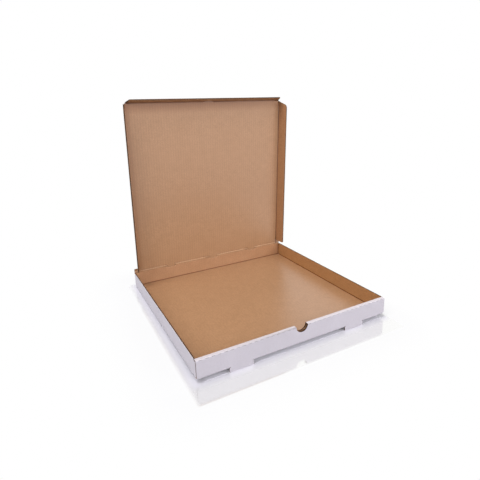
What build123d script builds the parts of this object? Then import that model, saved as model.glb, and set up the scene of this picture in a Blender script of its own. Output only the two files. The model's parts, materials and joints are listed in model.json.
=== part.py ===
from build123d import *
import math
import os

# A corrugated pizza box: a square tray folded from one sheet, a lid that swings on
# the crease along the top of the back wall, and three flaps that tuck the lid into
# the tray. The lid stands open. The front edge of the tray stands on two small feet,
# so the whole box leans back a little onto its rear bottom fold.
#
# All lengths are in millimetres. X runs to the right, Y to the back and Z up. The
# origin is on the surface under the box, in the middle of its footprint.

# Board
board = 2.6
fold_inside_radius = 0.5
roll_edge_radius = 1.8
layer_play = 0.6
running_gap = 0.3

# Tray
inside_width = 445.0
inside_depth = 445.0
wall_height = 38.4
hinge_rise = 3.0
cut_edge_inset = 0.5
wall_corner_cut = 3.0
corner_tab_length = 70.0
thumb_notch_radius = 14.0

# Feet of the front wall, and the tabs that lock its inner leaf into the base
foot_spacing = 272.0
foot_width = 50.0
lock_slot_play = 2.3
lock_tab_side_play = 1.0
lock_tab_drop = 2.0

# Lid
hinge_tab_spacing = 126.0
hinge_tab_width = 22.0
hinge_tab_reach = 4.8
hinge_ear_gap = 1.5
half_moon_width = 24.0
half_moon_rise = 5.0
lid_open_angle = 86.0

# Flaps of the lid, with fold angles counted from a flap that lies flat in the lid's plane
side_flap_width = 32.0
side_flap_start = 9.3
side_flap_slope_angle = 16.0
side_flap_front_corner = 10.0
side_flap_rear_corner = 3.5
side_flap_fold_angle = 78.0
front_flap_width = 24.5
front_flap_bevel_angle = 13.0
front_flap_corner = 3.0
front_flap_end_inset = 2.5
front_flap_fold_angle = 72.0

# Board at rest in a fold
half_board = board / 2
fold_radius = board + fold_inside_radius
edge_clearance = half_board + running_gap

# Tray sizes that follow
roll_width = 3 * board + 2 * layer_play
half_width = inside_width / 2 + board
half_depth = (inside_depth + board + roll_width) / 2
front_face = -half_depth
roll_back_face = front_face + roll_width
inner_leaf_bottom = board + layer_play
tucked_height = wall_height - board - layer_play
tab_face = front_face + board + layer_play
slot_depth = roll_width + lock_slot_play
foot_drop = slot_depth - board

# Hinge line of the lid, above the side walls and in the middle of the back wall
hinge_height = wall_height + hinge_rise
hinge_depth = half_depth - half_board
back_wall_height = hinge_height - edge_clearance
hinge_slot_bottom = hinge_height - math.hypot(hinge_tab_reach, half_board) - running_gap

# Fold lines of the lid, set so that each flap clears the wall it tucks behind
side_splay = math.radians(90 - side_flap_fold_angle)
side_flap_lean = side_flap_width * math.sin(side_splay) + half_board * math.cos(side_splay)
side_fold = inside_width / 2 - running_gap - side_flap_lean
front_splay = math.radians(90 - front_flap_fold_angle)
front_flap_lean = front_flap_width * math.sin(front_splay)
front_flap_dip = front_flap_width * math.cos(front_splay)
front_reach = hinge_depth - roll_back_face - edge_clearance
front_fold = math.sqrt(front_reach**2 - front_flap_dip**2) - front_flap_lean
panel_side = side_fold - edge_clearance
panel_front = front_fold - edge_clearance

# Angle at which the box leans back, from its front feet to its rear bottom fold
stand_height = fold_radius + foot_drop
stand_length = 2 * half_depth - board - fold_radius
lean_angle = math.degrees(
    math.acos(fold_radius / math.hypot(stand_height, stand_length))
    - math.atan2(stand_length, stand_height)
)


def inner_corners(corners):
    """The corners of the face that lies one board to the left of a line of corners."""
    points = [Vector(*corner) for corner in corners]
    normals = []
    for start, end in zip(points, points[1:]):
        along = (end - start).normalized()
        normals.append(Vector(-along.Y, along.X))
    before = [normals[0]] + normals
    after = normals + [normals[-1]]
    return [p + (a + b) * (board / (1 + a.dot(b))) for p, a, b in zip(points, before, after)]


def folded_run(corners, radii, plane, reach):
    """A run of board whose outer face follows the corners, reaching both ways from the plane."""
    outline = [Vector(*corner) for corner in corners] + inner_corners(corners)[::-1]
    inner_radii = [max(radius - board, 0) for radius in radii]
    section = FilletPolyline(*outline, radius=[0, *radii, 0, 0, *inner_radii[::-1], 0], close=True)
    return extrude(plane * make_face(section), amount=reach, both=True)


def block(x_limits, y_limits, z_limits):
    """A straight block between two limits along each axis."""
    low, high = (Vector(*corner) for corner in zip(x_limits, y_limits, z_limits))
    middle = (low + high) / 2
    size = high - low
    return Pos(middle.X, middle.Y, middle.Z) * Box(size.X, size.Y, size.Z)


def both_sides(solid):
    """The solid together with its mirror image in the middle plane."""
    return solid + mirror(solid, about=Plane.YZ)


def flat_board(outline):
    """A flat piece of board around the middle plane of the sheet."""
    return extrude(make_face(outline), amount=half_board, both=True)


def crease_bead(centre, length, direction):
    """The rounded end that a piece of board turns on at a crease."""
    return centre * Rot(*direction) * Cylinder(half_board, length)


def front_base_and_back():
    """Inner leaf, rolled top, front wall, base and back wall, folded from one run."""
    corners = [
        (roll_back_face, inner_leaf_bottom),
        (roll_back_face, wall_height),
        (front_face, wall_height),
        (front_face, 0),
        (half_depth, 0),
        (half_depth, back_wall_height),
    ]
    radii = [roll_edge_radius, roll_edge_radius, fold_radius, fold_radius]
    run = folded_run(corners, radii, Plane.YZ, half_width - cut_edge_inset)

    fold_end = (half_width - fold_radius, half_width)
    run -= both_sides(block(fold_end, (-half_depth, half_depth), (0, fold_radius)))

    leaf_end = (inside_width / 2 - cut_edge_inset, half_width)
    leaf_depth = (roll_back_face - board, roll_back_face)
    return run - both_sides(block(leaf_end, leaf_depth, (0, tucked_height)))


def base_and_sides():
    """Base and side walls, with the walls cut back where the rolled front covers them."""
    corners = [
        (-half_width, wall_height),
        (-half_width, 0),
        (half_width, 0),
        (half_width, wall_height),
    ]
    run = folded_run(corners, [fold_radius, fold_radius], Plane.XZ, half_depth - fold_radius)
    rear_corners = run.edges().filter_by(Axis.X).group_by(Axis.Z)[-1].group_by(Axis.Y)[-1]
    run = chamfer(rear_corners, wall_corner_cut)

    across = (-half_width, half_width)
    run -= block(across, (front_face, tab_face + fold_radius), (fold_radius, wall_height))
    return run - block(across, (front_face, roll_back_face + running_gap), (tucked_height, wall_height))


def corner_tab():
    """The tab on the front end of the right side wall, caught inside the double front wall."""
    corners = [
        (half_width - corner_tab_length, tab_face),
        (half_width, tab_face),
        (half_width, tab_face + fold_radius + board),
    ]
    middle = Plane.XY.offset((inner_leaf_bottom + tucked_height) / 2)
    return folded_run(corners, [fold_radius], middle, (tucked_height - inner_leaf_bottom) / 2)


def foot_and_lock():
    """Right foot, cut free from the base, and the lock tab that drops into its slot."""
    left, right = (foot_spacing - foot_width) / 2, (foot_spacing + foot_width) / 2
    slot = block((left, right), (front_face, front_face + slot_depth), (0, fold_radius))
    foot = block((left, right), (front_face, front_face + board), (-foot_drop, fold_radius))
    lock_sides = (left + lock_tab_side_play, right - lock_tab_side_play)
    lock_depth = (roll_back_face - board, roll_back_face)
    lock_tab = block(lock_sides, lock_depth, (-lock_tab_drop, inner_leaf_bottom))
    return slot, foot + lock_tab


def hinge_tab_places():
    """Where the three hinge tabs sit along the crease."""
    return [-hinge_tab_spacing, 0, hinge_tab_spacing]


def make_tray():
    """The tray, folded as one piece."""
    slot, foot = foot_and_lock()
    tray = front_base_and_back() - both_sides(slot)
    tray += base_and_sides() - both_sides(slot)
    tray += both_sides(corner_tab())
    tray += both_sides(foot)

    notch_middle = Pos(0, front_face + roll_width / 2, wall_height)
    tray -= notch_middle * Rot(X=90) * Cylinder(thumb_notch_radius, roll_width + board)

    half_slot = hinge_tab_width / 2 + running_gap
    for place in hinge_tab_places():
        sides = (place - half_slot, place + half_slot)
        tray -= block(sides, (half_depth - board, half_depth), (hinge_slot_bottom, back_wall_height))
    return tray


def half_moon_disc(play):
    """The disc whose edge is the half moon at the lid's front fold, grown by a play."""
    half_chord = half_moon_width / 2
    radius = (half_chord**2 + half_moon_rise**2) / (2 * half_moon_rise)
    centre = Pos(0, radius - half_moon_rise - front_fold, 0)
    return centre * Cylinder(radius + play, board)


def make_lid():
    """The lid's panel, closed and level, with the hinge line on the X axis.

    Behind the side flaps it widens into two ears, as wide as the back wall that they fold on.
    """
    panel = block((-panel_side, panel_side), (-panel_front, 0), (-half_board, half_board))
    ear_side = half_width - cut_edge_inset
    ear_front = hinge_ear_gap - side_flap_start
    panel += block((-ear_side, ear_side), (ear_front, 0), (-half_board, half_board))
    panel += crease_bead(Pos(0, 0, 0), 2 * ear_side, (0, 90, 0))

    half_tab = hinge_tab_width / 2
    for place in hinge_tab_places():
        sides = (place - half_tab, place + half_tab)
        panel += block(sides, (0, hinge_tab_reach), (-half_board, half_board))

    past_panel = block((-panel_side, panel_side), (-2 * front_fold, -panel_front), (-board, board))
    return panel + (half_moon_disc(0) & past_panel)


def make_front_flap():
    """The front flap, lying flat in front of the closed lid."""
    end = panel_side - front_flap_end_inset
    free_end = end - front_flap_width * math.tan(math.radians(front_flap_bevel_angle))
    free_edge = -front_fold - front_flap_width
    points = [(-end, -front_fold), (end, -front_fold), (free_end, free_edge), (-free_end, free_edge)]
    corner_radii = [0, 0, front_flap_corner, front_flap_corner]
    flap = flat_board(FilletPolyline(*points, radius=corner_radii, close=True))
    flap += crease_bead(Pos(0, -front_fold, 0), 2 * end, (0, 90, 0))
    return flap - half_moon_disc(half_board + 2 * running_gap)


def make_right_flap():
    """The right side flap, lying flat beside the closed lid."""
    front_end = -(panel_front - front_flap_end_inset)
    rear_end = -side_flap_start
    free_edge = side_fold + side_flap_width
    sloped_end = front_end + side_flap_width * math.tan(math.radians(side_flap_slope_angle))
    points = [(side_fold, front_end), (free_edge, sloped_end), (free_edge, rear_end), (side_fold, rear_end)]
    corner_radii = [0, side_flap_front_corner, side_flap_rear_corner, 0]
    flap = flat_board(FilletPolyline(*points, radius=corner_radii, close=True))
    middle = Pos(side_fold, (front_end + rear_end) / 2, 0)
    return flap + crease_bead(middle, rear_end - front_end, (90, 0, 0))


def turned(solid, axis, angle):
    """The solid turned about an axis, in degrees."""
    return solid.rotate(axis, angle)


def make_box():
    """Every piece of the box as it stands, by node name."""
    front_axis = Axis((0, -front_fold, 0), (1, 0, 0))
    right_axis = Axis((side_fold, 0, 0), (0, 1, 0))
    right_flap = turned(make_right_flap(), right_axis, side_flap_fold_angle)
    lid_pieces = {
        "lid": make_lid(),
        "lid_front_flap": turned(make_front_flap(), front_axis, front_flap_fold_angle),
        "lid_right_flap": right_flap,
        "lid_left_flap": mirror(right_flap, about=Plane.YZ),
    }
    open_lid = Pos(0, hinge_depth, hinge_height) * Rot(X=-lid_open_angle)
    pieces = {"tray": make_tray()}
    for name, piece in lid_pieces.items():
        pieces[name] = open_lid * piece

    leaning = {name: Rot(X=-lean_angle) * piece for name, piece in pieces.items()}
    extents = [piece.bounding_box() for piece in leaning.values()]
    depth_middle = (min(e.min.Y for e in extents) + max(e.max.Y for e in extents)) / 2
    to_origin = Pos(0, -depth_middle, -min(e.min.Z for e in extents))
    return {name: to_origin * piece for name, piece in leaning.items()}


os.makedirs("parts", exist_ok=True)
for node, piece in make_box().items():
    export_step(piece, f"parts/{node}.step")
    print(node, "volume", round(piece.volume), "mm3")
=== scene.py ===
# %% [markdown]
# A takeaway pizza box is one sheet of corrugated board: two flat papers, called liners,
# with a wavy paper glued between them. The outer liner is coated white and the inner one
# is bare brown kraft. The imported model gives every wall, flap and fold at its real size.
# This lesson dresses that model, and moves nothing: it gives each side of the sheet its
# own paper, opens the cut edges so that the waves show, and skins over the creases.

# %% Load the frame
import json
import math

import bmesh
import bpy
from mathutils import Matrix, Vector
from mathutils.bvhtree import BVHTree


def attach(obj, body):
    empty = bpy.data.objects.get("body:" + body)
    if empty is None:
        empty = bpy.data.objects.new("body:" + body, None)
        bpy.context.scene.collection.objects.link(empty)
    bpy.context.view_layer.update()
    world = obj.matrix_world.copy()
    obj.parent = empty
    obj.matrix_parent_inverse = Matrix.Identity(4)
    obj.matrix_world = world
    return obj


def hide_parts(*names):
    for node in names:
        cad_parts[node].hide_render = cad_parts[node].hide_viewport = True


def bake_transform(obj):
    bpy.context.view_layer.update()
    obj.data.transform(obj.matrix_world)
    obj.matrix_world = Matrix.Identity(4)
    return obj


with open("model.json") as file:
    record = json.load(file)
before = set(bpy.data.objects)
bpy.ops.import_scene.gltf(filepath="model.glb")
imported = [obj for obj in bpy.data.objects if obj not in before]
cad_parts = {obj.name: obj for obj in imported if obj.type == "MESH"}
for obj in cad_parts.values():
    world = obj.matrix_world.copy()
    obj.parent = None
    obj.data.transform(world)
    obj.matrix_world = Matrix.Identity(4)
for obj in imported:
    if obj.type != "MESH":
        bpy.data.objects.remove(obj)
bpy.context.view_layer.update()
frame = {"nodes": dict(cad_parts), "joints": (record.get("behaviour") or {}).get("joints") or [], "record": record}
joints = {joint["name"]: joint for joint in frame["joints"]}
print("nodes:", sorted(frame["nodes"]))

# %% [markdown]
# Everything about folded board is simpler on the flat sheet. So the first helper works
# out, for each node, the move that lays it flat: the box is stood level, the lid is
# closed, and each flap is swung out into the lid's plane. The joints know every axis and
# angle, so nothing is measured by eye. The same moves, run backwards, put a piece that
# is drawn flat into its place on the folded box.

# %% Lay the sheet flat
def turn_about(joint, degrees):
    """The turn by some degrees about a joint's axis."""
    move = Matrix.Translation(Vector(joint["pos_m"]))
    return move @ Matrix.Rotation(math.radians(degrees), 4, Vector(joint["axis"])) @ move.inverted()


underside = frame["record"]["mounts"][0]
lean = math.atan2(-underside["axis"][1], -underside["axis"][2])
level = Matrix.Rotation(lean, 4, "X") @ Matrix.Translation(-Vector(underside["pos_m"]))
level_closed = level @ turn_about(joints["lid_hinge"], joints["lid_hinge"]["range_deg"][1])

to_flat = {"tray": level, "lid": level_closed}
for side in ("front", "left", "right"):
    fold = joints[f"{side}_flap_fold"]
    to_flat[f"lid_{side}_flap"] = level_closed @ turn_about(fold, fold["range_deg"][0])
from_flat = {node: move.inverted() for node, move in to_flat.items()}
body_of = {node: body for body, nodes in frame["record"]["behaviour"]["bodies"].items() for node in nodes}
print("the box leans back by", round(math.degrees(lean), 2), "degrees")

# %% [markdown]
# The node meshes are loose triangles. A merged copy is easier to dress: doubles are
# joined, and triangles that lie in one plane become one face. The nodes laid flat also
# give the sizes that the rest of the lesson needs, such as the thickness of the board.

# %% Merge and measure
weld_reach = 0.000002
flat_turn = math.radians(0.3)


def merged(node):
    """A merged copy of a node as an edit mesh, laid flat."""
    sheet = bmesh.new()
    sheet.from_mesh(frame["nodes"][node].data)
    bmesh.ops.remove_doubles(sheet, verts=sheet.verts, dist=weld_reach)
    sheet.transform(to_flat[node])
    bmesh.ops.dissolve_limit(sheet, angle_limit=flat_turn, verts=sheet.verts, edges=sheet.edges)
    sheet.normal_update()
    return sheet


def flat_limits(node):
    """The lowest and highest corner of a node laid flat."""
    points = [to_flat[node] @ vertex.co for vertex in frame["nodes"][node].data.vertices]
    low = Vector(min(point[axis] for point in points) for axis in range(3))
    high = Vector(max(point[axis] for point in points) for axis in range(3))
    return low, high


limits = {node: flat_limits(node) for node in to_flat}
board = limits["lid"][1].z - limits["lid"][0].z
half_board = board / 2
half_width = limits["tray"][1].x
front_face = limits["tray"][0].y
back_face = limits["tray"][1].y
hinge = level @ Vector(joints["lid_hinge"]["pos_m"])
side_fold = (level_closed @ Vector(joints["right_flap_fold"]["pos_m"])).x
front_fold = (level_closed @ Vector(joints["front_flap_fold"]["pos_m"])).y
print("board", round(board * 1000, 2), "mm, tray", round(half_width * 2000, 1), "mm wide")

# %% [markdown]
# A face of the model is either one side of the sheet or a cut edge. A ray shot inwards
# tells which: through a side it comes out after one thickness of board, and through a cut
# edge it runs on inside the sheet. In a tight bend one ray can mislead, so faces that
# flow smoothly into each other vote together. Which side it is, white or brown, follows
# from the blank: white is outside on every wall, and the rolled front brings it round to
# the inside of the tray.

# %% Tell the sides of the sheet apart
WHITE, KRAFT, WHITE_RIM, KRAFT_RIM, CORE = range(5)
wall_top = 0.0384
layer_play = 0.0006
crease_gap = 0.0003
roll_width = 3 * board + 2 * layer_play
roll_back = front_face + roll_width
ray_start_share = 0.02
thinnest, thickest = 0.8 * board, 1.4 * board
smooth_turn = math.radians(25)
print("the rolled front is", round(roll_width * 1000, 1), "mm deep")


def is_cut(tree, face):
    """True if the sheet runs on behind this face."""
    centre = face.calc_center_median()
    _, _, _, depth = tree.ray_cast(centre - face.normal * board * ray_start_share, -face.normal)
    return depth is None or not thinnest < depth < thickest


def smooth_groups(sheet):
    """The faces of a sheet in groups, each joined by edges that hardly turn."""
    groups, placed = [], set()
    for first in sheet.faces:
        if first in placed:
            continue
        group, waiting = [], [first]
        placed.add(first)
        while waiting:
            face = waiting.pop()
            group.append(face)
            for edge in face.edges:
                if len(edge.link_faces) == 2 and edge.calc_face_angle() < smooth_turn:
                    near = set(edge.link_faces) - placed
                    placed |= near
                    waiting += near
        groups.append(group)
    return groups


def tray_side(face):
    """The paper on a face of the tray: white looks away from the middle of the tray, or of the roll."""
    centre = face.calc_center_median()
    middle = Vector((0, 0, wall_top))
    rolled = centre.z > wall_top - 1.2 * board or centre.y > roll_back - board - layer_play / 2
    if centre.y < roll_back + layer_play and rolled:
        middle = Vector((centre.x, front_face + roll_width / 2, min(centre.z, wall_top - 1.5 * board)))
    return WHITE if face.normal.dot(centre - middle) > 0 else KRAFT


def lid_side(face):
    """The paper on a face of the lid or of a flap."""
    return WHITE if face.normal.z > 0 else KRAFT


def on_crease_bead(node, face):
    """True for the rounded end that a piece turns on."""
    centre = face.calc_center_median()
    if node == "tray":
        return False
    if node == "lid":
        return abs(centre.y - hinge.y) < half_board and abs(face.normal.x) < 0.5
    if node == "lid_front_flap":
        return centre.y > front_fold - crease_gap and abs(face.normal.x) < 0.5
    return abs(centre.x) < side_fold + crease_gap and abs(face.normal.y) < 0.5


# %% [markdown]
# On real board the cut edge is two thin paper lips with a hollow between them. Insetting
# each band of cut faces by the thickness of a liner, and sinking the inner part, gives
# those lips on every edge at once, round corners included.

# %% Open the cut edges
liner = 0.0003
lip_step = 0.00002
edge_hollow = 0.0016


def touches(face, paper):
    """True if a face shares an edge with a face of this paper."""
    neighbours = (near for edge in face.edges for near in edge.link_faces if near != face)
    return any(near.material_index == paper for near in neighbours)


def dress_sheet(node):
    """The sheet of one node with its papers told apart and its cut edges hollowed."""
    sheet = merged(node)
    tree = BVHTree.FromBMesh(sheet)
    side_of = tray_side if node == "tray" else lid_side
    cut_faces = []
    for group in smooth_groups(sheet):
        cut_area = sum(face.calc_area() for face in group if is_cut(tree, face))
        cut = cut_area > sum(face.calc_area() for face in group) / 2
        for face in group:
            if cut and not on_crease_bead(node, face):
                face.material_index = CORE
                cut_faces.append(face)
            else:
                face.material_index = side_of(face)
    lips = bmesh.ops.inset_region(sheet, faces=cut_faces, thickness=liner, use_even_offset=False)["faces"]
    for face in lips:
        face.material_index = WHITE_RIM if touches(face, WHITE) else KRAFT_RIM
    hollow = [face for face in cut_faces if face.is_valid]
    walls = bmesh.ops.inset_region(
        sheet, faces=hollow, thickness=lip_step, depth=-edge_hollow, use_even_offset=False
    )["faces"]
    for face in walls + hollow:
        face.material_index = CORE
    sheet.normal_update()
    return sheet, len(cut_faces)


# %% [markdown]
# The flutes, which are the waves inside the board, all run the same way on the flat
# sheet. Each face gets a map of its place on that sheet, in metres: the first number
# goes across the flutes and the second along them. Faint stripes follow this map, and so
# they turn the corner from the base up each wall, as they do on the real box.

# %% Map each face to its place on the flat sheet
bend_zone = 1.3 * board


def place_on_sheet(node, face, point):
    """Across and along the flutes, for a point of a face."""
    if node != "tray":
        return point.x, point.y
    centre = face.calc_center_median()
    if abs(centre.x) > half_width - bend_zone and roll_back < centre.y < back_face - bend_zone:
        return point.z, point.y
    if centre.z > bend_zone and (centre.y < roll_back + crease_gap or centre.y > back_face - bend_zone):
        return point.x, point.z
    return point.x, point.y


def map_to_sheet(node, sheet):
    """Write the map onto the sheet's faces."""
    layer = sheet.loops.layers.uv.new("sheet")
    for face in sheet.faces:
        for loop in face.loops:
            loop[layer].uv = place_on_sheet(node, face, loop.vert.co)


# %% [markdown]
# A material is a small set of nodes around one shader. Setting up each node by hand takes
# several lines, so a few helpers do it in one: they add a node, link it, and do the
# arithmetic on places that the shades along the folds need.

# %% Helpers for nodes
def new_material(name, roughness):
    """A material with one principled shader, and its node tree."""
    material = bpy.data.materials.new(name)
    material.use_nodes = True
    tree = material.node_tree
    shader = tree.nodes["Principled BSDF"]
    shader.inputs["Roughness"].default_value = roughness
    return material, tree, shader


def add_node(tree, kind, links=(), **settings):
    """A node with its settings, and its inputs linked or set."""
    node = tree.nodes.new(kind)
    for key, value in settings.items():
        setattr(node, key, value)
    for socket, value in dict(links).items():
        if isinstance(value, bpy.types.NodeSocket):
            tree.links.new(value, node.inputs[socket])
        else:
            node.inputs[socket].default_value = value
    return node


def object_place(tree):
    """The point's place in the object's own coordinates."""
    return add_node(tree, "ShaderNodeTexCoord").outputs["Object"]


def split_up(tree, vector):
    """The three parts of a vector."""
    return add_node(tree, "ShaderNodeSeparateXYZ", {0: vector}).outputs


def length_of(tree, *parts):
    """The length of a vector with these parts."""
    vector = add_node(tree, "ShaderNodeCombineXYZ", dict(enumerate(parts))).outputs[0]
    return add_node(tree, "ShaderNodeVectorMath", {0: vector}, operation="LENGTH").outputs["Value"]


def faded(tree, value, start, end, first, last):
    """A number that goes smoothly from one value to another."""
    links = {"Value": value, "From Min": start, "From Max": end, "To Min": first, "To Max": last}
    return add_node(tree, "ShaderNodeMapRange", links, interpolation_type="SMOOTHSTEP").outputs["Result"]


def calculated(tree, operation, *values):
    """One step of arithmetic on sockets and numbers."""
    return add_node(tree, "ShaderNodeMath", dict(enumerate(values)), operation=operation).outputs[0]


def plus(tree, first, second):
    """A sum."""
    return calculated(tree, "ADD", first, second)


def minus(tree, first, second):
    """A difference."""
    return calculated(tree, "SUBTRACT", first, second)


def times(tree, first, second):
    """A product."""
    return calculated(tree, "MULTIPLY", first, second)


def larger(tree, first, second):
    """The larger of two numbers."""
    return calculated(tree, "MAXIMUM", first, second)


def smaller(tree, first, second):
    """The smaller of two numbers."""
    return calculated(tree, "MINIMUM", first, second)


def absolute(tree, value):
    """A number without its sign."""
    return calculated(tree, "ABSOLUTE", value)


# %% [markdown]
# Paper is made of a noise for its clouds, a finer one for its fibres and a bump for the
# touch, with tints multiplied over them. All of it reads the object's own coordinates or
# the map of the sheet, so that nothing slides when a flap moves.

# %% Helpers for paper
untinted = (1.0, 1.0, 1.0)


def noise(tree, scale, detail=3.0, stretch=(1.0, 1.0, 1.0), place=None):
    """A noise between zero and one, on the object's coordinates unless a place is given."""
    place = object_place(tree) if place is None else place
    scaled = add_node(tree, "ShaderNodeVectorMath", {0: place, 1: stretch}, operation="MULTIPLY")
    links = {"Vector": scaled.outputs[0], "Scale": scale, "Detail": detail}
    return add_node(tree, "ShaderNodeTexNoise", links).outputs["Fac"]


def blended(tree, factor, low, high, from_low=0.0, from_high=1.0):
    """A colour between two, as a factor goes from one value to another."""
    spread = {"Value": factor, "From Min": from_low, "From Max": from_high}
    links = {"Factor": add_node(tree, "ShaderNodeMapRange", spread).outputs["Result"]}
    for slot_number, colour in ((6, low), (7, high)):
        links[slot_number] = colour if isinstance(colour, bpy.types.NodeSocket) else (*colour, 1)
    return add_node(tree, "ShaderNodeMix", links, data_type="RGBA").outputs[2]


def painted_over(tree, colour, *layers):
    """A colour with tints multiplied over it. Each layer is a tint and its share."""
    for tint, share in layers:
        links = {"Factor": share, 6: colour, 7: tint}
        mix = add_node(tree, "ShaderNodeMix", links, data_type="RGBA", blend_type="MULTIPLY")
        colour = mix.outputs[2]
    return colour


def bumped(tree, shader, height, distance):
    """Give a shader a bump from a height."""
    bump = add_node(tree, "ShaderNodeBump", {"Height": height, "Distance": distance, "Strength": 1.0})
    tree.links.new(bump.outputs[0], shader.inputs["Normal"])


# %% [markdown]
# The flutes show through a liner as faint stripes, a little lighter on each crest. The
# stripes are one sine over the map of the sheet. A slow noise pushes them to and fro by
# part of a wave, because real flutes are never ruled quite straight.

# %% Stripes over the flutes
flute_pitch = 0.0065
flute_drift = 0.004
print(round(2 * half_width / flute_pitch), "flutes across the tray")


def flute_wave(tree):
    """A wave between minus one and one that follows the flutes of the sheet."""
    sheet_map = add_node(tree, "ShaderNodeUVMap", uv_map="sheet").outputs[0]
    across = split_up(tree, sheet_map)[0]
    drift = times(tree, noise(tree, 9.0, 1.0, place=sheet_map), flute_drift)
    phase = times(tree, plus(tree, across, drift), 2 * math.pi / flute_pitch)
    return calculated(tree, "SINE", phase)


# %% [markdown]
# A fold in board is a crushed line that holds little light. It is thinner than a pixel,
# so the paper gets painted shade by its distance from the nearest fold. On the tray a
# point's place in the level tray gives that distance. The lid's three hinge tabs stand in
# slots of the back wall. The rim of each slot and the top of the back wall get a painted
# highlight.

# %% Creases of the tray
darkest_crease = 0.22
tab_places = [-0.126, 0, 0.126]
tab_half = 0.0113
slot_bottom = 0.0361
print("hinge tabs at", tab_places, "and", round(2000 * tab_half, 1), "mm wide")


def crease_shade(tree, distance, start, reach):
    """A factor that goes from dark on a crease to one a little way off."""
    return faded(tree, distance, start, reach, darkest_crease, 1.0)


def past_tab(tree, across):
    """How far a place lies to the side of the nearest hinge tab: below zero on a tab."""
    from_middle = absolute(tree, across)
    from_outer = absolute(tree, minus(tree, from_middle, tab_places[-1]))
    return minus(tree, smaller(tree, from_middle, from_outer), tab_half)


def place_in_tray(tree):
    """A point's place across, along and up the level tray."""
    place = object_place(tree)
    levelled = []
    for row in level[:3]:
        dot = add_node(tree, "ShaderNodeVectorMath", {0: place, 1: tuple(row[:3])}, operation="DOT_PRODUCT")
        levelled.append(plus(tree, dot.outputs["Value"], row[3]))
    return levelled


def from_walls(tree):
    """How far a point of the tray lies beyond the inner faces of the side walls, and of the back wall."""
    across, along, _ = place_in_tray(tree)
    return minus(tree, absolute(tree, across), half_width - board), minus(tree, along, back_face - board)


def painted_slot_light(tree, across, height, from_back):
    """Painted highlight: a factor that lightens the top of the back wall and the rims of its slots."""
    past_slot = larger(tree, past_tab(tree, across), minus(tree, slot_bottom, height))
    painted_slot_rim = faded(tree, past_slot, 0.0007, 0.0018, 1.38, 1.0)
    painted_light_near_top = faded(tree, height, wall_top - 0.003, wall_top, 1.0, 1.10)
    near_back = faded(tree, absolute(tree, from_back), 0.0002, 0.001, 1.0, 0.0)
    change = times(tree, minus(tree, times(tree, painted_light_near_top, painted_slot_rim), 1.0), near_back)
    return plus(tree, change, 1.0)


def tray_creases(tree):
    """Painted shade along the folds between the base and its walls and up the rear corners, with the painted
    highlight on the back wall's top and slots.
    """
    across, _, height = place_in_tray(tree)
    from_side, from_back = from_walls(tree)
    from_base = minus(tree, height, board)
    nearest = smaller(tree, length_of(tree, from_side, from_base), length_of(tree, from_back, from_base))
    nearest = smaller(tree, nearest, length_of(tree, from_side, from_back))
    shade = crease_shade(tree, nearest, 0.0005, 0.0022)
    return times(tree, shade, painted_slot_light(tree, across, height, from_back))


# %% [markdown]
# The lid's folds get painted shade in the same way, from the map of the sheet. Its flaps
# keep light off the paper beside them, so there the painted shade reaches further. The
# half-moon tab on the front fold gets a painted highlight. At the hinge a painted dark
# line and a painted pale one run between the tabs, and the paper near it is painted a
# little paler.

# %% Creases of the lid
moon_half_width = 0.012
moon_rise = 0.005
moon_radius = (moon_half_width ** 2 + moon_rise ** 2) / (2 * moon_rise)
# how much paler the painted highlight on the half-moon tab is
moon_painted_highlight = 1.8
print("half moon with a radius of", round(moon_radius * 1000, 1), "mm")


def fold_lines(tree):
    """The place on the sheet, the distance behind the front fold, and the shade on the lid's folds."""
    across, along, _ = split_up(tree, add_node(tree, "ShaderNodeUVMap", uv_map="sheet").outputs[0])
    from_side = minus(tree, absolute(tree, across), side_fold)
    from_front = minus(tree, along, front_fold)
    nearest = smaller(tree, absolute(tree, from_side), absolute(tree, from_front))
    return across, along, from_front, crease_shade(tree, nearest, 0.0010, 0.0022)


def flap_creases(tree):
    """Shade along the fold of a flap."""
    return fold_lines(tree)[-1]


def flap_shade(tree, across, from_front):
    """Shade under the front flap, deeper on the left, and beside the left flap."""
    depth = faded(tree, across, 0.0, 0.2, 0.45, 0.32)
    under_flap = minus(tree, 1.0, times(tree, faded(tree, from_front, 0.003, 0.031, 1.0, 0.0), depth))
    beside_flap = faded(tree, plus(tree, across, side_fold), -0.001, 0.018, 0.70, 1.0)
    return times(tree, under_flap, beside_flap)


def half_moon(tree, across, from_front):
    """One on the half-moon tab, and zero elsewhere."""
    from_centre = length_of(tree, across, minus(tree, from_front, moon_radius - moon_rise))
    return times(tree, faded(tree, from_centre, moon_radius, moon_radius + 0.001, 1.0, 0.0),
                 faded(tree, from_front, -0.0006, 0.0008, 1.0, 0.0))


def painted_hinge_light(tree, across, along):
    """Painted shade and highlight: the dark and the pale line between the hinge tabs, and the paler paper near the
    hinge.
    """
    past_hinge = minus(tree, along, hinge.y)
    on_tab = faded(tree, past_tab(tree, across), 0.0, 0.0005, 1.0, 0.0)
    painted_dark_line = faded(tree, absolute(tree, plus(tree, past_hinge, 0.0030)), 0.0005, 0.0020, 0.74, 1.0)
    painted_pale_line = faded(tree, absolute(tree, plus(tree, past_hinge, 0.0004)), 0.0011, 0.0019, 0.40, 0.0)
    painted_pale_line = plus(tree, 1.0, times(tree, painted_pale_line, minus(tree, 1.0, on_tab)))
    painted_paler_near_hinge = faded(tree, past_hinge, -0.20, -0.05, 1.0, 1.09)
    return times(tree, times(tree, painted_paler_near_hinge, painted_pale_line), larger(tree, painted_dark_line, on_tab))


def lid_creases(tree):
    """Painted shade and light along the lid's folds and its hinge, and beside its flaps."""
    across, along, from_front, shade = fold_lines(tree)
    shade = times(tree, shade, flap_shade(tree, across, from_front))
    # the half-moon tab gets a painted highlight
    shade = larger(tree, shade, times(tree, half_moon(tree, across, from_front), moon_painted_highlight))
    return times(tree, shade, painted_hinge_light(tree, across, along))
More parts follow.
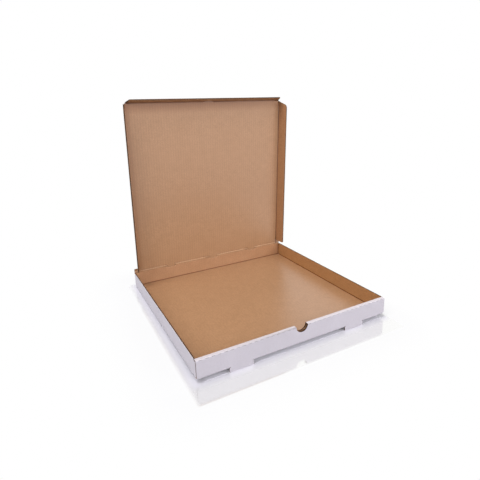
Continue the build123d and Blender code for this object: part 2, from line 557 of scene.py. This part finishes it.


# %% [markdown]
# Bare kraft liner is brown wood pulp. Seen close it has long fibres and small specks, and
# further away it is cloudy. A scan of real paper could be used, but a few noises, each at
# the scale of one of these, need no picture and fit any size. Rolling gave the paper a
# soft gloss, so that at a low angle the base of the box picks up light. The side walls
# are duller. Light and shade are also painted into the colour: the side walls are painted
# warmer and the back wall paler, the lid a little paler than the tray, and the flaps a
# shade darker, as painted shade.

# %% Kraft liner
def warm_shade(tree, shade):
    """A brown shade from a factor: blue falls off first and red last."""
    links = {index: calculated(tree, "POWER", shade, power) for index, power in enumerate((0.75, 1.1, 1.4))}
    return add_node(tree, "ShaderNodeCombineColor", links).outputs[0]


def painted_wall_light(tree):
    """Painted light on the inner faces of the walls: the side walls warmer and the back wall paler."""
    painted_light_tints = ((1.0, 0.91, 0.73), (1.20, 1.18, 1.25))
    return [blended(tree, faded(tree, beyond, -0.0008, 0.0, 0.0, 1.0), untinted, tint)
            for beyond, tint in zip(from_walls(tree), painted_light_tints)]


def make_kraft(name, colours, roughness, gloss, creases, stripe_share, painted_light_tints=None):
    """Bare brown paper, with painted shade along its creases and painted light where asked for."""
    material, tree, shader = new_material(name, roughness)
    shader.inputs["IOR"].default_value = 1.65
    shader.inputs["Specular IOR Level"].default_value = gloss
    fibre = noise(tree, 420.0, 2.0, (1.0, 0.35, 1.0))
    cloudy = blended(tree, noise(tree, 60.0, 5.0), *colours, 0.3, 0.7)
    fibres = blended(tree, fibre, (0.9, 0.88, 0.86), (1.05, 1.05, 1.05), 0.35, 0.65)
    specks = blended(tree, noise(tree, 900.0, 1.0), (0.62, 0.5, 0.42), untinted, 0.27, 0.36)
    stripes = blended(tree, flute_wave(tree), (0.91, 0.905, 0.90), (1.03, 1.03, 1.03), -1, 1)
    layers = [(fibres, 1.0), (specks, 0.6), (stripes, stripe_share), (warm_shade(tree, creases(tree)), 1.0)]
    layers += [(tint, 1.0) for tint in painted_light_tints(tree)] if painted_light_tints else []
    tree.links.new(painted_over(tree, cloudy, *layers), shader.inputs["Base Color"])
    wave = times(tree, flute_wave(tree), 0.4 * stripe_share)
    bumped(tree, shader, plus(tree, wave, times(tree, fibre, 0.5)), 0.00005)
    return material


# the lid is painted a little paler than the tray, and the flaps a shade darker: painted light and painted shade on
# one sheet
tray_colours = ((0.356, 0.196, 0.101), (0.384, 0.214, 0.113))
lid_colours_painted_paler = ((0.390, 0.214, 0.114), (0.418, 0.232, 0.127))
flap_colours_painted_shade = ((0.318, 0.160, 0.076), (0.346, 0.177, 0.088))
base_gloss, side_wall_gloss = 0.62, 0.22
tray_kraft = make_kraft("tray_kraft_liner", tray_colours, roughness=0.36, gloss=base_gloss,
                        creases=tray_creases, stripe_share=0.25, painted_light_tints=painted_wall_light)
lid_kraft = make_kraft("lid_kraft_liner", lid_colours_painted_paler, roughness=0.46, gloss=0.85,
                       creases=lid_creases, stripe_share=0.7)
flap_kraft = make_kraft("flap_kraft_liner", flap_colours_painted_shade, roughness=0.55, gloss=0.30,
                        creases=flap_creases, stripe_share=0.7)
tree = tray_kraft.node_tree
tray_gloss = faded(tree, from_walls(tree)[0], -0.002, 0.0, base_gloss, side_wall_gloss)
tree.links.new(tray_gloss, tree.nodes["Principled BSDF"].inputs["Specular IOR Level"])
print("brown papers:", tray_kraft.name, lid_kraft.name, flap_kraft.name)

# %% [markdown]
# The outside is the same paper under a thin white clay coating. It is slightly cool, and
# a little blotchy where the brown shows through. Along the fold on top of the rolled front
# a warmer, paler line is painted on: a painted highlight.

# %% White coated liner
white_colours = ((0.515, 0.482, 0.542), (0.545, 0.512, 0.575))


def painted_fold_highlight(tree):
    """A painted highlight on the fold on top of the roll."""
    crest = faded(tree, place_in_tray(tree)[2], wall_top - 0.0012, wall_top - 0.0003, 0.0, 1.0)
    return blended(tree, crest, untinted, (1.05, 1.03, 0.97))


def make_white(name, on_tray):
    """White coated paper, with the painted highlight on the tray's fold where asked for."""
    material, tree, shader = new_material(name, 0.5)
    grain = noise(tree, 600.0, 2.0, (1.0, 0.5, 1.0))
    blotchy = blended(tree, noise(tree, 22.0, 4.0), *white_colours, 0.3, 0.7)
    layers = [(blended(tree, grain, (0.96, 0.955, 0.955), untinted, 0.35, 0.6), 1.0)]
    # the tray's white gets the painted highlight along the top of its roll
    layers += [(painted_fold_highlight(tree), 1.0)] if on_tray else []
    tree.links.new(painted_over(tree, blotchy, *layers), shader.inputs["Base Color"])
    height = plus(tree, times(tree, flute_wave(tree), 0.25), times(tree, grain, 0.4))
    bumped(tree, shader, height, 0.00004)
    return material


tray_white = make_white("tray_white_liner", on_tray=True)
lid_white = make_white("lid_white_liner", on_tray=False)
print("white papers:", tray_white.name, lid_white.name)

# %% [markdown]
# A cut edge shows torn fibres, which are rough and differ in tone from the face of the
# paper. In the hollow behind the lips sits the wavy paper, recycled and darker, and the
# hollow is painted near black as painted shade. In places the knife has crushed the lips
# together over it. The thumb notch goes through every layer of the rolled front, and
# little light gets between them, so its cut gets painted shade. On the lid the white
# lips are painted a dull brown, also painted shade.

# %% Cut edges and the wavy paper
thumb_notch = 0.0145


def with_notch_shade(tree, colour):
    """A colour of the tray's cut edges, with painted shade in the thumb notch."""
    across, along, _ = split_up(tree, object_place(tree))
    outside = larger(tree, minus(tree, absolute(tree, across), thumb_notch), along)
    dark = blended(tree, faded(tree, outside, 0.0, 0.001, 1.0, 0.0), untinted, (0.24, 0.18, 0.13))
    return painted_over(tree, colour, (dark, 1.0))


def make_cut(name, dark, light, on_tray=False, roughness=0.8, crushed_above=None):
    """Torn fibres. Where a slow noise is above the last value, the edge is crushed and pale."""
    material, tree, shader = new_material(name, roughness)
    torn = noise(tree, 350.0, 3.0)
    colour = blended(tree, torn, dark, light, 0.3, 0.7)
    if crushed_above:
        pale = blended(tree, torn, (0.5, 0.38, 0.32), (0.72, 0.6, 0.55), 0.3, 0.7)
        crushed_part = noise(tree, 38.0, 1.5)
        colour = blended(tree, crushed_part, colour, pale, crushed_above, crushed_above + 0.09)
    tree.links.new(with_notch_shade(tree, colour) if on_tray else colour, shader.inputs["Base Color"])
    bumped(tree, shader, torn, 0.0001)
    return material


# the hollow is near black: the dark paper with painted shade
hollow_paper_and_painted_shade = ((0.045, 0.022, 0.012), (0.10, 0.05, 0.027))
white_cut = make_cut("white_cut_edge", (0.62, 0.52, 0.50), (0.80, 0.72, 0.71), True)
kraft_cut = make_cut("kraft_cut_edge", (0.26, 0.13, 0.065), (0.42, 0.24, 0.14))
tray_kraft_cut = make_cut("tray_kraft_cut_edge", (0.17, 0.085, 0.042), (0.30, 0.17, 0.10), True)
medium = make_cut("fluted_paper", (0.15, 0.075, 0.035), (0.24, 0.13, 0.065))
# the slits are dark lenses of painted shadow
slit = make_cut("slit_shadow", (0.16, 0.14, 0.15), (0.34, 0.31, 0.35))
crushed = make_cut("crushed_core", *hollow_paper_and_painted_shade, True, roughness=0.85, crushed_above=0.76)
open_core = make_cut("open_core", *hollow_paper_and_painted_shade, roughness=0.85, crushed_above=0.72)
# the lid's white lips are painted dull brown: painted shade
lid_cut_in_painted_shade = make_cut("lid_cut_edge", (0.24, 0.15, 0.10), (0.36, 0.25, 0.18))
tray_papers = [tray_white, tray_kraft, white_cut, tray_kraft_cut, crushed]
lid_papers = [lid_white, lid_kraft, lid_cut_in_painted_shade, kraft_cut, open_core]
flap_papers = [lid_white, flap_kraft, lid_cut_in_painted_shade, kraft_cut, open_core]
papers_of = {"tray": tray_papers, "lid": lid_papers}
print("papers of the tray:", [paper.name for paper in tray_papers])

# %% [markdown]
# Now the papers go on. Each node is dressed as it lies flat, where the map of the sheet is
# simple, and its mesh is then moved back to its place on the folded box. The object stays
# at the origin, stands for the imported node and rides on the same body, so that it follows
# every joint.

# %% Dress every node
def add_object(name, mesh, materials):
    """A new object at the origin with these materials."""
    shape = bpy.data.objects.new(name, mesh)
    bpy.context.scene.collection.objects.link(shape)
    for material in materials:
        mesh.materials.append(material)
    return shape


for node in to_flat:
    sheet, cuts = dress_sheet(node)
    map_to_sheet(node, sheet)
    sheet.transform(from_flat[node])
    mesh = bpy.data.meshes.new(f"{node}_sheet")
    sheet.to_mesh(mesh)
    sheet.free()
    dressed = add_object(f"{node}_sheet", mesh, papers_of.get(node, flap_papers))
    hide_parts(node)
    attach(dressed, body_of[node])
    print(node, "has", len(mesh.polygons), "faces and", cuts, "cut faces")

# %% [markdown]
# At a crease the board is crushed, but both papers run on across it. The model leaves a
# hairline there so that the parts can turn. A skin of paper closes it on each side. It
# is drawn flat across the fold, and then each point is turned by its share of the fold:
# none on one side, all on the other.

# %% Skins over the creases
skin_lift = 0.00005
skin_depth = 0.00012
skin_reach = 0.0030
skin_step = 0.02
skin_start = half_board + crease_gap
skin_stops = [-skin_reach, -skin_start, -0.0011, -0.00055, 0, 0.00055, 0.0011, skin_start, skin_reach]


def skin_share(stop):
    """How much of the fold a point takes, by its place across the crease."""
    share = min(max((stop + skin_start) / (2 * skin_start), 0), 1)
    return share * share * (3 - 2 * share)


def bent_outline(side, fold_angle):
    """The closed outline of a skin on one side of the board, bent to a fold angle."""
    near, far = half_board - skin_depth, half_board + skin_lift
    outline = [(stop, far) for stop in skin_stops] + [(stop, near) for stop in reversed(skin_stops)]
    turn = -math.radians(fold_angle)
    return [Matrix.Rotation(turn * skin_share(across), 2) @ Vector((across, height * side))
            for across, height in outline]


def loft(shape, rings):
    """A closed skin over a row of rings, capped at both ends."""
    count = len(rings[0])
    for first, second in zip(rings, rings[1:]):
        for index in range(count):
            following = (index + 1) % count
            shape.faces.new((first[index], first[following], second[following], second[index]))
    shape.faces.new(rings[0][::-1])
    shape.faces.new(rings[-1])


def axes_matrix(origin, across, along, up):
    """A matrix with these three axes and its origin at a point."""
    return Matrix((
        (across.x, along.x, up.x, origin.x),
        (across.y, along.y, up.y, origin.y),
        (across.z, along.z, up.z, origin.z),
        (0, 0, 0, 1),
    ))


def crease_skin(name, side, fold_angle, spans, move, sheet_place):
    """Skins over one crease, along each span, placed by a matrix."""
    outline = bent_outline(side, fold_angle)
    strip = bmesh.new()
    layer = strip.loops.layers.uv.new("sheet")
    for start, end in spans:
        pieces_along = max(2, int((end - start) / skin_step))
        rings = []
        for number in range(pieces_along + 1):
            along = start + (end - start) * number / pieces_along
            rings.append([strip.verts.new((point.x, along, point.y)) for point in outline])
        loft(strip, rings)
    bmesh.ops.recalc_face_normals(strip, faces=strip.faces)
    for face in strip.faces:
        face.smooth = True
        for loop in face.loops:
            loop[layer].uv = sheet_place(loop.vert.co)
    strip.transform(move)
    mesh = bpy.data.meshes.new(name)
    strip.to_mesh(mesh)
    strip.free()
    skin = add_object(name, mesh, [lid_white if side > 0 else lid_kraft])
    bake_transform(skin)


# %% [markdown]
# Each fold gets its two skins, one outside and one inside. Those on the hinge stop at the
# three tabs, and those on the front fold stop at the half-moon tab, because the sheet is
# cut there and not creased.

# %% Skin every fold
x_axis, y_axis, z_axis = (Vector(axis) for axis in ((1, 0, 0), (0, 1, 0), (0, 0, 1)))
panel_side = limits["lid"][1].x
flap_end = limits["lid_front_flap"][1].x
side_front = limits["lid_right_flap"][0].y
side_rear = limits["lid_right_flap"][1].y
moon_end = moon_half_width + 0.0005
stops = [-panel_side] + [tab + way * tab_half for tab in tab_places for way in (-1, 1)] + [panel_side]
hinge_spans = list(zip(stops[::2], stops[1::2]))
front_spans = [(-flap_end, -moon_end), (moon_end, flap_end)]
hinge_angle = 90 - joints["lid_hinge"]["range_deg"][1]
fold_angles = {side: -joints[f"{side}_flap_fold"]["range_deg"][0] for side in ("front", "left", "right")}
hinge_move = from_flat["tray"] @ axes_matrix(hinge, z_axis, x_axis, y_axis)
front_move = from_flat["lid"] @ axes_matrix(Vector((0, front_fold, hinge.z)), -y_axis, x_axis, z_axis)
for face_name, side in (("outer", 1), ("inner", -1)):
    crease_skin(f"hinge_skin_{face_name}", side, hinge_angle, hinge_spans, hinge_move,
                lambda point: (point.y, hinge.y - point.x))
    crease_skin(f"front_fold_skin_{face_name}", side, fold_angles["front"], front_spans, front_move,
                lambda point: (point.y, front_fold - point.x))
    for hand, way in (("left", -1), ("right", 1)):
        fold_at = Vector((way * side_fold, 0, hinge.z))
        side_move = from_flat["lid"] @ axes_matrix(fold_at, way * x_axis, y_axis, z_axis)
        crease_skin(f"{hand}_fold_skin_{face_name}", side, fold_angles[hand], [(side_front, side_rear)],
                    side_move, lambda point: (side_fold + point.x, point.y))
print("folds skinned at", hinge_angle, "and", fold_angles, "degrees")

# %% [markdown]
# What repeats by a rule is made with Geometry Nodes. A tree takes a mesh and a few named
# numbers, and a modifier runs it. These helpers open and close such a tree, and turn its
# result into a plain mesh, because copies that only the modifier knows are lost later.

# %% Helpers for node trees
def open_tree(name, numbers):
    """A tree that takes a mesh and named numbers, with their identifiers and its group input."""
    tree = bpy.data.node_groups.new(name, "GeometryNodeTree")
    tree.interface.new_socket("Geometry", in_out="INPUT", socket_type="NodeSocketGeometry")
    identifiers = {}
    for label, value in numbers.items():
        kind = "NodeSocketInt" if isinstance(value, int) else "NodeSocketFloat"
        socket = tree.interface.new_socket(label, in_out="INPUT", socket_type=kind)
        socket.default_value = value
        identifiers[label] = socket.identifier
    tree.interface.new_socket("Geometry", in_out="OUTPUT", socket_type="NodeSocketGeometry")
    return tree, identifiers, tree.nodes.new("NodeGroupInput").outputs


def close_tree(tree, geometry, material):
    """Make copies real, give them their material and lead them out."""
    real = add_node(tree, "GeometryNodeRealizeInstances", {0: geometry})
    done = add_node(tree, "GeometryNodeSetMaterial", {"Geometry": real.outputs[0], "Material": material})
    add_node(tree, "NodeGroupOutput", {0: done.outputs[0]})


def nodes_to_mesh(name, tree, identifiers, start_mesh, numbers):
    """Run a tree on a mesh with these numbers, and give the plain result."""
    carrier = bpy.data.objects.new(f"{name}_carrier", start_mesh)
    bpy.context.scene.collection.objects.link(carrier)
    modifier = carrier.modifiers.new("nodes", "NODES")
    modifier.node_group = tree
    for label, value in numbers.items():
        modifier[identifiers[label]] = value
    view = bpy.context.evaluated_depsgraph_get()
    mesh = bpy.data.meshes.new_from_object(carrier.evaluated_get(view), depsgraph=view)
    bpy.data.objects.remove(carrier)
    mesh.name = name
    return mesh


# %% [markdown]
# The front edge of the box rolls over twice. So that it bends there in a straight line,
# the sheet is perforated along the outer fold: one short slit after another, all the way
# across. One slit is drawn as a thin dark lens that follows the bend, and the
# tree sets it out at an even pitch, with none where the thumb notch is.

# %% Perforation along the rolled front
slit_pitch = 0.01232
slit_length = 0.0078
slit_width = 0.0007
slit_steps = 8
slit_lift, slit_sink = 0.00004, 0.00008
slit_turn = math.radians(-18)
slit_blunt = 0.02
roll_bend = 0.0018
roll_corner = 0.008
slit_count = int((2 * half_width - 2 * roll_corner) / slit_pitch) + 1


# A slit is a thin dark lens of painted shadow over the bend, not a cut through the board.
def slit_mesh():
    """One slit on a rounded edge, with the axis of the bend at the origin."""
    lens = bmesh.new()
    high, low = roll_bend + slit_lift, roll_bend - slit_sink
    rings = []
    for step in range(slit_steps + 1):
        along = (step / slit_steps - 0.5) * slit_length
        half = slit_width / 2 * math.sqrt(max(1 - (2 * step / slit_steps - 1) ** 4, slit_blunt))
        ring = []
        for way, radius in ((1, high), (0, high), (-1, high), (-1, low), (0, low), (1, low)):
            angle = way * half / roll_bend
            ring.append(lens.verts.new((along, -radius * math.cos(angle), radius * math.sin(angle))))
        rings.append(ring)
    loft(lens, rings)
    bmesh.ops.recalc_face_normals(lens, faces=lens.faces)
    mesh = bpy.data.meshes.new("slit")
    lens.to_mesh(mesh)
    lens.free()
    return mesh


row_numbers = {
    "Count": slit_count,
    "Start": -slit_pitch * (slit_count - 1) / 2,
    "Pitch": slit_pitch,
    "Half gap in the middle": thumb_notch + slit_length / 2,
}
tree, identifiers, given = open_tree("perforation", row_numbers)
start = add_node(tree, "ShaderNodeCombineXYZ", {0: given["Start"]})
offset = add_node(tree, "ShaderNodeCombineXYZ", {0: given["Pitch"]})
row = add_node(tree, "GeometryNodeMeshLine", {
    "Count": given["Count"], "Start Location": start.outputs[0], "Offset": offset.outputs[0]})
along = split_up(tree, add_node(tree, "GeometryNodeInputPosition").outputs[0])[0]
clear = calculated(tree, "GREATER_THAN", absolute(tree, along), given["Half gap in the middle"])
spread = add_node(tree, "GeometryNodeInstanceOnPoints", {
    "Points": row.outputs["Mesh"], "Instance": given["Geometry"], "Selection": clear})
close_tree(tree, spread.outputs[0], slit)

slits = nodes_to_mesh("perforation", tree, identifiers, slit_mesh(), row_numbers)
bend_axis = Vector((0, front_face + roll_bend, wall_top - roll_bend))
slits.transform(from_flat["tray"] @ Matrix.Translation(bend_axis) @ Matrix.Rotation(slit_turn, 4, "X"))
perforation = add_object("perforation", slits, [])
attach(perforation, "tray")
print(slit_count, "slits along the front")

# %% [markdown]
# The wavy paper itself is another rule: a sheet of straight waves. The nodes draw the
# columns of a grid on a sine wave, send a ray in from each end of every column to find
# where the board starts and stops, and cut the column there, a hair inside the lips. The
# columns that miss the board are deleted before the others move, while each still stands
# where its ray was worked out. The waves are seen where the lid's cut edges are open.

# %% Waves inside the board
ray_length = 20.0
seam_reach = 0.000001
flute_play = 0.00025
wave_numbers = {
    "Pitch": flute_pitch,
    "Height": half_board - liner - flute_play,
    "Paper": 0.0002,
    "Margin": 0.0003,
    "Steps per wave": 12,
}


def flute_tree():
    """Waves cut to the outline of the carrier mesh, with the flutes along Y."""
    tree, identifiers, given = open_tree("flutes", wave_numbers)
    limits_box = add_node(tree, "GeometryNodeBoundBox", {0: given["Geometry"]})
    low = split_up(tree, limits_box.outputs["Min"])
    high = split_up(tree, limits_box.outputs["Max"])
    width = minus(tree, minus(tree, high[0], low[0]), given["Margin"])
    waves = calculated(tree, "DIVIDE", width, given["Pitch"])
    columns = calculated(tree, "CEIL", times(tree, waves, given["Steps per wave"]))
    grid = add_node(tree, "GeometryNodeMeshGrid", {
        "Size X": minus(tree, width, given["Margin"]), "Size Y": minus(tree, high[1], low[1]),
        "Vertices X": columns, "Vertices Y": 2})
    split = split_up(tree, add_node(tree, "GeometryNodeInputPosition").outputs[0])
    across = plus(tree, split[0], times(tree, plus(tree, low[0], high[0]), 0.5))
    turn = calculated(tree, "DIVIDE", times(tree, across, 2 * math.pi), given["Pitch"])
    wave = times(tree, calculated(tree, "SINE", turn), given["Height"])
    side = calculated(tree, "SIGN", split[1])
    far_out = times(tree, side, ray_length / 2)
    source = add_node(tree, "ShaderNodeCombineXYZ", {0: across, 1: far_out, 2: wave}).outputs[0]
    aim = add_node(tree, "ShaderNodeCombineXYZ", {1: times(tree, side, -1.0)}).outputs[0]
    ray = add_node(tree, "GeometryNodeRaycast", {
        "Target Geometry": given["Geometry"], "Source Position": source,
        "Ray Direction": aim, "Ray Length": ray_length})
    hit = split_up(tree, ray.outputs["Hit Position"])
    end_at = minus(tree, hit[1], times(tree, side, given["Margin"]))
    target = add_node(tree, "ShaderNodeCombineXYZ", {0: across, 1: end_at, 2: wave}).outputs[0]
    missed = add_node(tree, "FunctionNodeBooleanMath", {0: ray.outputs["Is Hit"]}, operation="NOT")
    kept = add_node(tree, "GeometryNodeDeleteGeometry", {
        "Geometry": grid.outputs["Mesh"], "Selection": missed.outputs[0]}, domain="POINT")
    moved = add_node(tree, "GeometryNodeSetPosition", {"Geometry": kept.outputs[0], "Position": target})
    thick = add_node(tree, "GeometryNodeExtrudeMesh", {
        "Mesh": moved.outputs[0], "Offset Scale": given["Paper"], "Individual": False})
    back = add_node(tree, "GeometryNodeFlipFaces", {0: moved.outputs[0]})
    both = add_node(tree, "GeometryNodeJoinGeometry")
    tree.links.new(thick.outputs["Mesh"], both.inputs[0])
    tree.links.new(back.outputs[0], both.inputs[0])
    welded = add_node(tree, "GeometryNodeMergeByDistance", {
        "Geometry": both.outputs[0], "Distance": seam_reach})
    close_tree(tree, welded.outputs[0], medium)
    return tree, identifiers


tree, identifiers = flute_tree()
to_middle = Matrix.Translation((0, 0, -hinge.z))
for node in ("lid", "lid_front_flap", "lid_left_flap", "lid_right_flap"):
    sheet = merged(node)
    sheet.transform(to_middle)
    target_mesh = bpy.data.meshes.new(f"{node}_target")
    sheet.to_mesh(target_mesh)
    sheet.free()
    waves = nodes_to_mesh(f"{node}_flutes", tree, identifiers, target_mesh, wave_numbers)
    waves.transform(from_flat[node] @ to_middle.inverted())
    flutes = add_object(f"{node}_flutes", waves, [])
    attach(flutes, body_of[node])
    print(node, "flutes have", len(waves.polygons), "faces")

# %% [markdown]
# The box stands on a smooth white table. Under the box and close to it the table is matt
# and takes the box's shadow, which is narrower on the right. There its paint is also
# darker near the box, a painted shadow, and paler under the front wall, painted light.
# Just in front it also gives back a faint mirror image of the front wall. Further off it
# is plain white to the camera and in reflections, as a lit studio table is. Lamps strong
# enough to make it white would burn out the white paper, so its material does that instead.

# %% Table
right_share = 1.8
table_half = 6.0


def past_footprint(tree):
    """How far a point lies past the sides, the front and the back of the box: below zero inside.

    The shadow is narrower on the right, so distances there count for more.
    """
    across, along, _ = split_up(tree, object_place(tree))
    right = times(tree, minus(tree, across, half_width), right_share)
    left = minus(tree, -half_width, across)
    return larger(tree, left, right), minus(tree, front_face, along), minus(tree, along, back_face)


def make_table():
    """A white table: matt in the box's shadow, with painted shadow and painted light near the box, and a faint
    mirror image just past it.
    """
    material = bpy.data.materials.new("table")
    material.use_nodes = True
    tree = material.node_tree
    tree.nodes.remove(tree.nodes["Principled BSDF"])
    sideways, before, behind = past_footprint(tree)
    outside = length_of(tree, *[larger(tree, past, 0.0) for past in (sideways, before, behind)])
    path = add_node(tree, "ShaderNodeLightPath").outputs
    seen = larger(tree, path["Is Camera Ray"], path["Is Glossy Ray"])
    # painted shadow: the paint is darker close to the box
    painted_shadow_near_box = blended(tree, outside, (0.55, 0.535, 0.60), (0.62, 0.61, 0.645), 0.0, 0.022)
    # painted light: paler paint under the front wall
    painted_light_under_front = times(tree, faded(tree, before, -0.0003, 0.0, 1.0, 0.0),
                        faded(tree, sideways, -0.024, -0.012, 1.0, 0.0))
    seen_paint = blended(tree, painted_light_under_front, painted_shadow_near_box, (0.82, 0.80, 0.90))
    paint = blended(tree, seen, (0.45, 0.45, 0.45), seen_paint)
    matt = add_node(tree, "ShaderNodeBsdfDiffuse", {"Color": paint})
    mirror = add_node(tree, "ShaderNodeBsdfGlossy", {"Color": (0.975, 0.98, 0.945, 1), "Roughness": 0.12})
    plain = add_node(tree, "ShaderNodeEmission", {"Color": (1, 1, 1, 1), "Strength": 1.0})
    mirrored = faded(tree, sideways, 0.010, 0.020, 0.56, 0.0)
    for past, start, end in ((before, 0.049, 0.056), (behind, 0.002, 0.012)):
        mirrored = times(tree, mirrored, faded(tree, past, start, end, 1.0, 0.0))
    polished = add_node(tree, "ShaderNodeMixShader", {0: mirrored, 1: plain.outputs[0], 2: mirror.outputs[0]})
    shadow = times(tree, faded(tree, outside, 0.001, 0.022, 0.8, 0.15),
                   faded(tree, outside, 0.03, 0.15, 1.0, 0.0))
    dull = larger(tree, shadow, minus(tree, 1.0, seen))
    mix = add_node(tree, "ShaderNodeMixShader", {0: dull, 1: polished.outputs[0], 2: matt.outputs[0]})
    tree.links.new(mix.outputs[0], tree.nodes["Material Output"].inputs[0])
    return material


table_mesh = bpy.data.meshes.new("table")
corners = [(x * table_half, y * table_half, 0) for x, y in ((-1, -1), (1, -1), (1, 1), (-1, 1))]
table_mesh.from_pydata(corners, [], [(0, 1, 2, 3)])
table = add_object("table", table_mesh, [make_table()])
print("table", 2 * table_half, "metres wide")

# %% [markdown]
# The background is white to the camera and in reflections. The same white would light the
# box evenly from all sides and flatten it, so diffuse rays meet a far dimmer sky. Large
# square lamps give the soft light instead: one above, and weaker ones round the box, at a
# level where the white paper keeps its shades.

# %% Light and background
sky_share = 0.08
box_middle = (0, 0, 0.1)
world = bpy.data.worlds.new("studio")
bpy.context.scene.world = world
world.use_nodes = True
sky = world.node_tree
sky_light = sky.nodes["Background"]
sky_light.inputs["Color"].default_value = (1, 1, 1, 1)
path = add_node(sky, "ShaderNodeLightPath").outputs
seen = larger(sky, larger(sky, path["Is Camera Ray"], path["Is Glossy Ray"]), path["Is Transmission Ray"])
strength = plus(sky, times(sky, seen, 1 - sky_share), sky_share)
sky.links.new(strength, sky_light.inputs["Strength"])


def soft_light(name, place, size, power):
    """A square soft light that looks at the middle of the box."""
    lamp = bpy.data.lights.new(name, "AREA")
    lamp.shape = "SQUARE"
    lamp.size = size
    lamp.energy = power
    light = bpy.data.objects.new(name, lamp)
    bpy.context.scene.collection.objects.link(light)
    light.location = place
    light.rotation_euler = (Vector(box_middle) - Vector(place)).to_track_quat("-Z", "Y").to_euler()
    light.visible_camera = False
    light.visible_glossy = False
    print(name, power, "watts")


soft_light("top_key", (-1.6, -0.6, 4.2), 2.2, 155)
soft_light("right_fill", (1.4, -1.9, 0.9), 1.2, 21)
soft_light("front_fill", (0.6, -4.2, 1.6), 2.4, 79)
soft_light("left_fill", (-3.4, -1.2, 2.4), 2.4, 88)
soft_light("rear_fill", (-1.8, 2.6, 3.4), 2.6, 32)
soft_light("back_fill", (1.6, 3.8, 1.5), 2.4, 80)

# %% [markdown]
# The camera stands in front and to the left, a little above the box. Its place, its lens
# and its shift were found by matching the corners of the model with the picture, which is
# 480 pixels each way.

# %% Camera
picture_width = 480
focal_pixels = 412.6362
centre_across, centre_down = 264.9523, 210.8688
sensor_width = 36
camera_place = Vector((-0.4231635, -0.8272365, 0.4897855))
azimuth, elevation, roll = math.radians(29.637), math.radians(-15.627), math.radians(-0.729)
forward = Vector((math.sin(azimuth) * math.cos(elevation), math.cos(azimuth) * math.cos(elevation),
                  math.sin(elevation)))
level_right = forward.cross(z_axis).normalized()
level_up = level_right.cross(forward)
right = math.cos(roll) * level_right + math.sin(roll) * level_up
up = -math.sin(roll) * level_right + math.cos(roll) * level_up
lens = bpy.data.cameras.new("camera")
lens.sensor_width = sensor_width
lens.lens = focal_pixels / picture_width * sensor_width
lens.shift_x = (picture_width / 2 - centre_across) / picture_width
lens.shift_y = (centre_down - picture_width / 2) / picture_width
camera = bpy.data.objects.new("camera", lens)
bpy.context.scene.collection.objects.link(camera)
camera.matrix_world = axes_matrix(camera_place, right, up, -forward)
bpy.context.scene.camera = camera
print("lens", round(lens.lens, 1), "mm")

# %% [markdown]
# The colours are shown as they are, with no film look over them.

# %% Finish
bpy.context.scene.view_settings.view_transform = "Standard"
